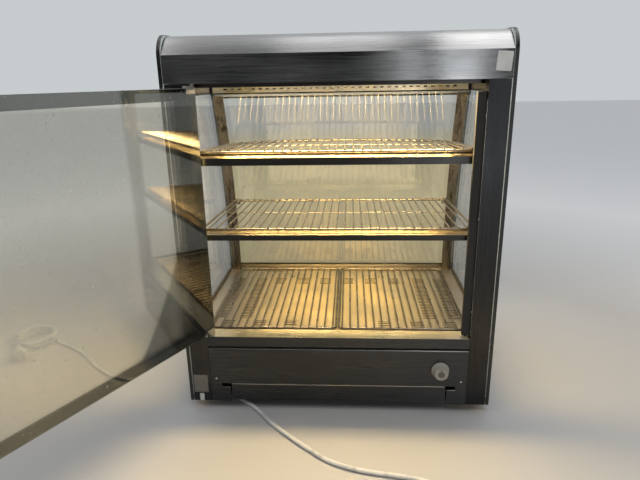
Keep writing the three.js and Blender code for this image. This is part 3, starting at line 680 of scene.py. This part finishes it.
def make_plug():
    bm = bmesh.new()
    nose = facing(at(COIL_X, COIL_Y - COIL_RADIUS, PLUG_Z), (-1, 0, 0))

    def grip(radius, along, angle):
        if 85 < along < 106:
            return radius * (1 - 0.045 * (0.5 + 0.5 * math.cos(16 * angle)))
        return radius

    profile = [(5.3, PLUG_START)]
    for i in range(6):
        rib = PLUG_START + 2 + i * 5
        radius = 5.8 + 0.55 * i
        groove = radius - 0.8
        profile += [(radius, rib), (radius, rib + 3), (groove, rib + 3.4), (groove, rib + 4.8)]
    profile += [(9.5, 71), (13, 75), (17.2, 79), (18.6, 84), (18.7, 88), (18.7, 103)]
    profile += [(18.6, 107), (17.8, 109.5), (16.5, 111.5), (6, PLUG_FACE)]
    turned(bm, profile, nose, 48, grip)
    for across in (-9.5, 9.5):
        pin = facing(at(COIL_X - PLUG_FACE + 2, COIL_Y - COIL_RADIUS + across, PLUG_Z), (-1, 0, 0))
        turned(bm, [(2.4, 0), (2.4, 18.5), (2, 20.3), (1.1, 21)], pin, 16)
    plug = mesh_piece("moulded_plug", bm)
    finish_piece(plug, "sheath", replaced=["mains_plug"])
    pins_start = at(COIL_X - PLUG_FACE - 0.5, 0, 0).x
    second_look(plug, "bright", lambda middle: middle.x < pins_start)
    return plug


def make_gland():
    """A hexagonal gland nut with a tapered, ringed strain relief behind it."""
    bm = bmesh.new()
    root = facing(at(GLAND_X, GLAND_Y, GLAND_Z), (0, 1, 0))

    def hexagon(radius, along, angle):
        if along < 9.5 and radius > 10:
            return radius * 0.9 / max(math.cos((angle % (math.pi / 3)) - math.pi / 6), 0.9)
        return radius

    profile = [(8, -11), (8, 0), (11.5, 0), (12, 0.8), (12, 8.2), (11.2, 9), (9, 10.5), (7.6, 12.5)]
    for i in range(7):
        start = 14 + i * 4.3
        radius = 7.3 - 0.24 * i
        groove = radius - 0.7
        profile += [(radius, start), (radius, start + 2.5), (groove, start + 3), (groove, start + 4)]
    profile += [(5.5, 45.3), (5.2, 45.5)]
    turned(bm, profile, root, 36, hexagon)
    gland = mesh_piece("strain_relief", bm)
    return finish_piece(gland, "rubber", replaced=["cable_gland"])


def make_tie():
    """A strap round the coil's turns, on the side where the lowest turn has room below it."""
    strap = curve_piece("coil_tie", 0.8)
    middle_z = 20.5
    points = []
    for across, up in rounded_outline(6, 16, 4):
        points.append(at(COIL_X, COIL_Y - COIL_RADIUS + across, middle_z + up))
    for shift in (-1.6, -0.8, 0, 0.8, 1.6):
        add_line(strap.data, [p + Vector((shift * MM, 0, 0)) for p in points], closed=True)
    return finish_piece(strap, "rubber")


def make_cord():
    cord = curve_piece("supply_cord", CORD_RADIUS)
    points = [at(*p) for p in smooth_path(CORD_ROUTE + coil_points())]
    add_line(cord.data, points)
    finish_piece(cord, "sheath", replaced=["mains_cord", "cord_coil"])
    pieces = [make_plug(), make_gland(), make_tie()]


make_cord()


# ---------- racks ----------
WIRE, ROD, STAY = 2.0, 3.0, 1.0  # radii: the wires, the frame and the thin rod below the wires
CORNER = 11
WIRE_PITCH = 20
WIRE_Z = 6.6
STAY_Z = WIRE_Z - WIRE - STAY
NEEDS_STAY = 200  # half width from which a rack has the thin rod


def make_rack(name, half_width, depth, wires, place, tilt, bow=0.0):
    """Round wires on a rod frame, tilted down to the back. bow lifts the middle of the rear edge."""
    rack = curve_piece(name + "_wires", WIRE)
    turn = math.radians(tilt)

    def spot(x, y, z):
        lift = bow * (1 - (x / half_width) ** 2) * (y / depth)
        back = y * math.cos(turn) + z * math.sin(turn)
        up = z * math.cos(turn) - y * math.sin(turn) + lift
        return at(place[0] + x, place[1] + back, place[2] + up)

    def line(start, end, radius, steps):
        points = []
        for i in range(steps + 1):
            share = i / steps
            points.append(spot(*(a + (b - a) * share for a, b in zip(start, end))))
        add_line(rack.data, points, radius / WIRE)

    corners = rounded_outline(half_width - ROD, depth / 2 - ROD, CORNER)
    outline = [(x, depth / 2 + y, ROD) for x, y in corners]
    frame_points = []
    for here, there in zip(outline, outline[1:] + outline[:1]):
        pieces = 10 if math.dist(here, there) > 100 else 1
        for i in range(pieces):
            frame_points.append(tuple(a + (b - a) * i / pieces for a, b in zip(here, there)))
    add_line(rack.data, [spot(*p) for p in frame_points], ROD / WIRE, closed=True)

    if half_width > NEEDS_STAY:
        end = half_width - ROD
        line((-end, depth / 2, STAY_Z), (end, depth / 2, STAY_Z), STAY, 12)
    for i in range(wires):
        x = (i - (wires - 1) / 2) * WIRE_PITCH
        line((x, 1.5, WIRE_Z), (x, depth - 1.5, WIRE_Z), WIRE, 4)
    finish_piece(rack, "wire", replaced=[name])


make_rack("top_rack", 322, 345, 31, (0, 38, 636.2), 3.6, 9)
make_rack("middle_rack", 322, 385, 31, (0, 38, 456), 2.5)
make_rack("bottom_rack_left", 161, 430, 16, (-161.8, 45, 198.3), 0)
make_rack("bottom_rack_right", 161, 430, 16, (161.8, 45, 198.3), 0)


# ---------- small fittings ----------
def make_knob():
    """A moulded knob with a fluted grip. Its face has a darker flat middle and a raised pointer."""
    bm = bmesh.new()
    x, z = 249, 116
    root = facing(at(x, 0, z), (0, -1, 0))

    def fluted(radius, along, angle):
        if 8.5 < along < 19.5:
            return radius * (1 - 0.03 * (0.5 + 0.5 * math.cos(24 * angle)))
        return radius

    profile = [(3.2, 1.2), (20.6, 1.2), (21, 2), (21, 4), (20.4, 4.9), (18.4, 6.2), (17.9, 8), (17.5, 10)]
    profile += [(16.9, 19), (16.2, 20.9), (15, 22.2), (12.5, 22.8), (8, 23), (2, 23)]
    turned(bm, profile, root, 96, fluted)
    pointer = [(-1.1, 2), (1.1, 2), (1.1, 14.6), (0, 15.6), (-1.1, 14.6)]
    near, far = ([at(x + across, -depth, z + up) for across, up in pointer] for depth in (22.2, 23.9))
    prism(bm, near, far)
    knob = mesh_piece("moulded_knob", bm)
    finish_piece(knob, "cream", "knob", ["thermostat_knob"])
    dark_from = at(0, -22.95, 0).y
    second_look(knob, "mark", lambda middle: middle.y < dark_from)


def make_screw(name, place, axis, radius, replaced=()):
    """A domed screw head with a hexagonal socket."""
    bm = bmesh.new()
    socket = radius * 0.48

    def hexagon(r, along, angle):
        if r <= socket * 1.01:
            return r * 0.87 / max(math.cos((angle % (math.pi / 3)) - math.pi / 6), 0.866)
        return r

    profile = [(radius, 0), (radius, radius * 0.16), (radius * 0.93, radius * 0.38)]
    profile += [(radius * 0.75, radius * 0.55), (socket * 1.08, radius * 0.62), (socket, radius * 0.58)]
    profile += [(socket * 0.98, radius * 0.2), (socket * 0.3, radius * 0.12)]
    turned(bm, profile, facing(place, axis), 36, hexagon)
    screw = mesh_piece(name, bm)
    finish_piece(screw, "bright", replaced=replaced)


def make_card(name, look, x_range, z_range, thickness=0.3, radius=1.5, turn=0.0):
    """A thin plate with rounded corners on the front plane, turned about its middle by some degrees."""
    bm = bmesh.new()
    middle_x, middle_z = sum(x_range) / 2, sum(z_range) / 2
    tilt = math.radians(turn)
    outline = []
    for across, up in rounded_outline(x_range[1] - middle_x, z_range[1] - middle_z, radius):
        x = middle_x + across * math.cos(tilt) - up * math.sin(tilt)
        z = middle_z + across * math.sin(tilt) + up * math.cos(tilt)
        outline.append((x, z))
    near, far = ([at(x, depth, z) for x, z in outline] for depth in (-0.02, -thickness))
    prism(bm, near, far)
    finish_piece(mesh_piece(name, bm), look)


def make_handle():
    """A bent round bar on two rosettes, on the door's outer face."""
    from_hinge = 583
    lower, upper = 412, 588
    glass_face, reach, bend = 5.3, 39, 16

    def on_door(outward, z):
        x = from_hinge * math.cos(DOOR_SWING) - outward * math.sin(DOOR_SWING)
        y = -from_hinge * math.sin(DOOR_SWING) - outward * math.cos(DOOR_SWING)
        return Vector((DOOR_PIVOT.x + x * MM, DOOR_PIVOT.y + y * MM, z * MM))

    bar = curve_piece("bow_handle", 6, sides=5)
    path = [(glass_face, lower), (reach - bend, lower)]
    for step in range(1, 6):
        angle = math.radians(step * 18)
        path.append((reach - bend + bend * math.sin(angle), lower + bend - bend * math.cos(angle)))
    path += [(out, lower + upper - z) for out, z in reversed(path)]
    add_line(bar.data, [on_door(out, z) for out, z in path])
    finish_piece(bar, "bright", "door", ["door_handle"])
    outward = on_door(1, lower) - on_door(0, lower)
    for place, z in (("lower", lower), ("upper", upper)):
        bm = bmesh.new()
        profile = [(6.2, glass_face), (9.5, glass_face), (9.5, 7), (8.8, 8), (6.2, 8.4)]
        turned(bm, profile, facing(on_door(0, z), outward), 36)
        rosette = mesh_piece(f"handle_rosette_{place}", bm)
        finish_piece(rosette, "bright", "door")


def make_strip(name, look, blocks, body="cabinet"):
    """Soft-edged blocks as one piece. Each block holds a middle point and a size."""
    bm = bmesh.new()
    for middle, size in blocks:
        for vert in bmesh.ops.create_cube(bm, size=1)["verts"]:
            vert.co = middle + Vector(c * s * MM for c, s in zip(vert.co, size))
    strip = mesh_piece(name, bm)
    soften(strip, min(min(size) for middle, size in blocks) * 0.2 * MM)
    finish_piece(strip, look, body)


def make_glass_trim():
    """A seal along the top edge of the customer glass, with a clip at each end. Its pale bluish colour is a
    painted highlight, the line of light along the glass's top edge.
    """
    low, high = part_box("far_glass")
    middle = Vector(((low.x + high.x) / 2, high.y - 0.108, high.z - 0.004))
    blocks = [(middle, (660, 3, 6.2))]
    for x in (-342, 342):
        blocks.append((middle + Vector((x * MM, 0, 0)), (26, 6, 7.2)))
    make_strip("glass_top_seal", "seal", blocks)


make_knob()
make_glass_trim()
jamb_edge = [(at(315.5, 4.1, 480), (0.4, 6.6, 540))]
make_strip("jamb_edge_strip", "bright", jamb_edge)
tray_lip = [(at(0, -0.5, 69.3), (522, 0.9, 1.6))]
make_strip("tray_front_lip", "bright", tray_lip, "drawer")
for side, x in (("left", -301), ("right", 301)):
    head = f"panel_screw_head_{side}"
    make_screw(head, at(x, -0.2, 84), (0, -1, 0), 3.4, replaced=[f"panel_screw_{side}"])
for index, z in enumerate((716, 492, 268)):
    make_screw(f"jamb_screw_{index + 1}", at(315.3, 4.2, z), (-1, 0, 0), 2.8)
make_card("blank_data_plate", "plate", (-359, -324), (44.5, 93), 0.5)
make_card("blank_small_label", "label", (-347, -336), (20.9, 41), 0.25, 0.8)
make_card("blank_hood_label", "label", (328, 359), (804, 842.5), 0.25, 1, -4)
make_handle()


# ---------- studio ----------
def stage_floor():
    bm = bmesh.new()
    bmesh.ops.create_grid(bm, x_segments=4, y_segments=4, size=16)
    floor = mesh_piece("studio_floor", bm, smooth=False)
    s = Shader("studio_floor")
    away = s.add("ShaderNodeVectorMath", **{"0": s.place})
    away.operation = "LENGTH"
    far = s.remap(away.outputs["Value"], 1.2, 2.6, 0, 1)
    tone = s.blend(s.noise(2.5, 3), (0.45, 0.45, 0.45), (0.49, 0.49, 0.49))
    tone = s.blend(far, tone, (0.86, 0.87, 0.88))
    floor.data.materials.append(s.shows(s.principled(tone, 0.85)))


def studio_world():
    """A pale room whose end in front of the cabinet is darker, for the steel to mirror."""
    world = bpy.data.worlds.new("studio")
    scene.world = world
    world.use_nodes = True
    tree = world.node_tree
    background = tree.nodes["Background"]
    place = tree.nodes.new("ShaderNodeTexCoord")
    split = tree.nodes.new("ShaderNodeSeparateXYZ")
    ramp = tree.nodes.new("ShaderNodeValToRGB")
    ramp.color_ramp.interpolation = "EASE"
    marks = ramp.color_ramp.elements
    marks[0].position = 0.1
    marks[0].color = (0.045, 0.045, 0.045, 1)
    marks[1].position = 0.62
    marks[1].color = (0.72, 0.74, 0.76, 1)
    halve = tree.nodes.new("ShaderNodeMapRange")
    halve.inputs["From Min"].default_value = -1
    path = tree.nodes.new("ShaderNodeLightPath")
    seen = tree.nodes.new("ShaderNodeMix")
    seen.data_type = "RGBA"
    seen.inputs[7].default_value = (0.57, 0.6, 0.62, 1)
    tree.links.new(place.outputs["Generated"], split.inputs[0])
    tree.links.new(split.outputs["Y"], halve.inputs["Value"])
    tree.links.new(halve.outputs["Result"], ramp.inputs["Fac"])
    tree.links.new(path.outputs["Is Camera Ray"], seen.inputs[0])
    tree.links.new(ramp.outputs["Color"], seen.inputs[6])
    tree.links.new(seen.outputs[2], background.inputs["Color"])
    background.inputs["Strength"].default_value = 1.0


def area_light(name, place, target, size, power, colour=(1, 1, 1)):
    light = bpy.data.lights.new(name, "AREA")
    light.shape = "RECTANGLE"
    light.size, light.size_y = size
    light.energy = power
    light.color = colour
    obj = bpy.data.objects.new(name, light)
    obj.location = place
    obj.rotation_euler = (Vector(target) - Vector(place)).to_track_quat("-Z", "Y").to_euler()
    obj.visible_camera = False
    scene.collection.objects.link(obj)
    return obj


def make_lights():
    """Soft ceiling panels, two tall windows behind the camera on the right, and the cabinet's own lamp."""
    for name, x, z, width, power in (
        ("ceiling_wide", 200, 2900, 4.2, 9),
        ("ceiling_left", -1300, 2880, 0.5, 8),
        ("ceiling_middle", -40, 2880, 0.7, 7),
        ("ceiling_right", 860, 2880, 0.62, 15),
    ):
        place = at(x, -500, z)
        area_light(name, place, place - Vector((0, 0, 1)), (width, 3.6), power, (1, 0.985, 0.97))
    for name, x, width, power in (("window_near", 418, 0.16, 2), ("window_far", 784, 0.26, 5)):
        area_light(name, at(x, -2600, 900), at(x, 0, 700), (width, 1.6), power, (0.95, 0.98, 1))
    low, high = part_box("lamp_cover")
    below = Vector(((low.x + high.x) / 2, (low.y + high.y) / 2, low.z - 0.002))
    size = (high.x - low.x - 0.01, high.y - low.y - 0.01)
    lamp = area_light("cabinet_lamp", below, below - Vector((0, 0, 1)), size, 20, (1, 0.72, 0.33))
    lamp.data.spread = math.radians(170)


stage_floor()
studio_world()
make_lights()
